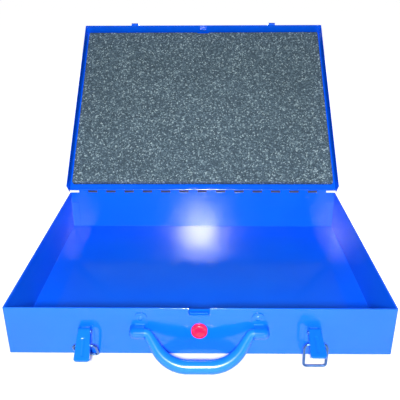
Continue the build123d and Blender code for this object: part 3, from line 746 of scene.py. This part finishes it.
foam_mesh = frame["nodes"]["foam_mat"].data.copy()
foam_mesh.transform(close_lid)
foam = new_piece("foam_lining", foam_mesh, grey_foam)
remesh = foam.modifiers.new("cells", "REMESH")
remesh.mode = "VOXEL"
remesh.voxel_size = foam_cell * MM
graph = bpy.context.evaluated_depsgraph_get()
cut = bpy.data.meshes.new_from_object(foam.evaluated_get(graph))
foam.modifiers.remove(remesh)
bpy.data.objects.remove(foam)
glued_height = max(vertex.co.z for vertex in cut.vertices)
normals = [vertex.normal.copy() for vertex in cut.vertices]
for vertex, normal in zip(cut.vertices, normals):
    if vertex.co.z > glued_height - glue_margin * MM:
        continue
    fine = noise.noise(vertex.co / (crumb_size * MM))
    slow = noise.noise(vertex.co / (hill_size * MM))
    vertex.co -= normal * (crumb_relief * MM * (0.5 + 0.5 * (fine + 0.5 * slow)))
cut.transform(close_lid.inverted())
foam = new_piece("foam_lining", cut, grey_foam)
compare(foam, "foam_mat")
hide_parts("foam_mat")
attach(foam, "lid")

# %% [markdown]
# ## The table
# The photograph has a white surround that swallows the table's edge. The table's colour carries
# that white, not more light on the case, and the table keeps the case's shadow. In front of the
# case the flash makes the table white. Elsewhere a glow that only direct looks, mirrors and glass
# can see fills in around that pool of light, so the glow never lights the case.

# %% Table mesh
# Metres across.
table_size = 12.0
half = table_size / 2
table_mesh = bpy.data.meshes.new("table")
table_mesh.from_pydata([(-half, -half, 0), (half, -half, 0), (half, half, 0), (-half, half, 0)],
                       [], [(0, 1, 2, 3)])
table = bpy.data.objects.new("table", table_mesh)
bpy.context.scene.collection.objects.link(table)
print("table", table_size, "m square")

# %% [markdown]
# ## A glow that lights nothing
# Blender's Light Path node tells what kind of ray asks for a colour. The glow of the table and of
# the room counts only for rays that look directly, in a mirror or through glass.

# %% Helper for the light path
def light_path_view(tree):
    """1 for rays that look at a surface directly, in a mirror or through glass, else 0."""
    path = add_node(tree, "ShaderNodeLightPath").outputs
    both = add_node(tree, "ShaderNodeMath",
                    {0: path["Is Camera Ray"], 1: path["Is Glossy Ray"]}, operation="MAXIMUM")
    seen = add_node(tree, "ShaderNodeMath",
                    {0: both.outputs["Value"], 1: path["Is Transmission Ray"]},
                    operation="MAXIMUM")
    return seen.outputs["Value"]


print("light path helper:", light_path_view.__name__)

# %% [markdown]
# ## The table's finish
# Matt white laminate shows the shadow, and white where the light reaches it. Three fades, to the
# sides, the front and the rear, bound the patch in the shadow behind the case. There the glow
# stops and a mild grey is painted into the table's colour as painted shadow, which the camera
# sees through the slots of the hinge. A fourth fade brings the glow in with the distance from the
# flash's pool of light. A loop makes them all.

# %% Table finish
laminate_roughness = 0.9
white_laminate = "cecece"
# Painted shadow: the darker grey painted into the table in the patch behind the case.
painted_shadow_grey = "9a9ca2"
# Metres, on the table in front of the case.
pool_middle = (-0.02, -0.5, 0.0)
table_finish, table_tree, table_shader = new_finish("matt_white_laminate")
table_place = add_node(table_tree, "ShaderNodeTexCoord").outputs["Object"]
spot = add_node(table_tree, "ShaderNodeSeparateXYZ", {"Vector": table_place}).outputs
aside = add_node(table_tree, "ShaderNodeMath", {0: spot["X"]}, operation="ABSOLUTE")
from_pool = add_node(table_tree, "ShaderNodeVectorMath", {0: table_place, 1: pool_middle},
                     operation="DISTANCE")
# What each fade follows, where it starts and ends in metres, and its value there.
fades = {"front": (spot["Y"], 0.12, 0.17, 0.0, 1.0),
         "rear": (spot["Y"], 0.33, 0.42, 1.0, 0.0),
         "sides": (aside.outputs["Value"], 0.225, 0.24, 1.0, 0.0),
         "pool": (from_pool.outputs["Value"], 0.25, 0.65, 0.08, 0.95)}
shares = {}
for name, (value, start, end, low, high) in fades.items():
    fade = add_node(table_tree, "ShaderNodeMapRange",
                    {"Value": value, "From Min": start, "From Max": end,
                     "To Min": low, "To Max": high}, interpolation_type="SMOOTHSTEP")
    shares[name] = fade.outputs["Result"]
painted_shadow_mask = shares["front"]
for name in ("rear", "sides"):
    painted_shadow_mask = add_node(table_tree, "ShaderNodeMath", {0: painted_shadow_mask, 1: shares[name]},
                      operation="MULTIPLY").outputs["Value"]
# Painted shadow: the patch's mask mixes the darker grey into the table's colour.
table_colour_with_painted_shadow = add_node(table_tree, "ShaderNodeMix",
                    {"Factor": painted_shadow_mask, "A": paint(white_laminate),
                     "B": paint(painted_shadow_grey)}, data_type="RGBA")
glow = add_node(table_tree, "ShaderNodeMath", {0: 1.0, 1: painted_shadow_mask},
                operation="SUBTRACT").outputs["Value"]
for share in (shares["pool"], light_path_view(table_tree)):
    glow = add_node(table_tree, "ShaderNodeMath", {0: glow, 1: share},
                    operation="MULTIPLY").outputs["Value"]
table_tree.links.new(table_colour_with_painted_shadow.outputs["Result"], table_shader.inputs["Base Color"])
table_tree.links.new(glow, table_shader.inputs["Emission Strength"])
table_shader.inputs["Emission Color"].default_value = (1, 1, 1, 1)
table_shader.inputs["Roughness"].default_value = laminate_roughness
table_shader.inputs["Specular IOR Level"].default_value = 0.0
table_mesh.materials.append(table_finish)
table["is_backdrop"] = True
print("table finish with", len(table_tree.nodes), "nodes")

# %% [markdown]
# ## Lamps
# The photograph was lit by a flash close to the lens: the front wall is the brightest, the tray's
# floor takes half as much, and a soft white streak stands in the middle, where the floor and the
# rear wall together throw the flash back to the camera. One small soft lamp behind and above the
# camera gives all three. Low lamps at both sides and behind keep the outer walls from going grey.

# %% Lamps
# Name, place and target in metres, diameter in metres and watts.
lamps = (("flash", (-0.02, -0.9, 0.55), (0.0, 0.0, 0.05), 0.125, 19.5),
         ("left_fill", (-1.5, 0.2, 0.12), (0.0, 0.1, 0.06), 0.4, 7.0),
         ("right_fill", (1.5, 0.2, 0.12), (0.0, 0.1, 0.06), 0.4, 7.0),
         ("rear_fill", (0.0, 2.0, 0.22), (0.0, 0.2, 0.15), 0.4, 12.0))
for name, place, target, diameter, watts in lamps:
    lamp = bpy.data.objects.new(name, bpy.data.lights.new(name, "AREA"))
    bpy.context.scene.collection.objects.link(lamp)
    lamp.data.shape = "DISK"
    lamp.data.size = diameter
    lamp.data.energy = watts
    lamp.location = place
    aim = Vector(target) - Vector(place)
    lamp.rotation_euler = aim.to_track_quat("-Z", "Y").to_euler()
    lamp.visible_camera = False
print("lamps:", *(name for name, *_ in lamps))

# %% [markdown]
# ## The room
# The world fills the shadows with a little even light. Rays that look at it directly, in a mirror
# or through glass see a white room up to a low height, which joins the table without a seam, and
# above that the dim light itself, so that glossy paint doesn't turn pale under a white sky.

# %% World
fill_light = 0.08
wall_start = 0.2
wall_end = 0.45
world = bpy.data.worlds.new("white_room")
bpy.context.scene.world = world
world.use_nodes = True
room = world.node_tree
background = next(n for n in room.nodes if n.type == "BACKGROUND")
background.inputs["Color"].default_value = (1, 1, 1, 1)
direction = add_node(room, "ShaderNodeTexCoord").outputs["Generated"]
height = add_node(room, "ShaderNodeSeparateXYZ", {"Vector": direction}).outputs["Z"]
wall = add_node(room, "ShaderNodeMapRange",
                {"Value": height, "From Min": wall_start, "From Max": wall_end,
                 "To Min": 1.0, "To Max": fill_light}, interpolation_type="SMOOTHSTEP")
strength = add_node(room, "ShaderNodeMapRange",
                    {"Value": light_path_view(room), "To Min": fill_light,
                     "To Max": wall.outputs["Result"]})
room.links.new(strength.outputs["Result"], background.inputs["Strength"])
print("world fill", fill_light)

# %% [markdown]
# ## Measure
# The box around the dressed case, without the table, is measured. The dressed case has to stay
# in the box of the CAD model.

# %% Sizes
low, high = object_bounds()
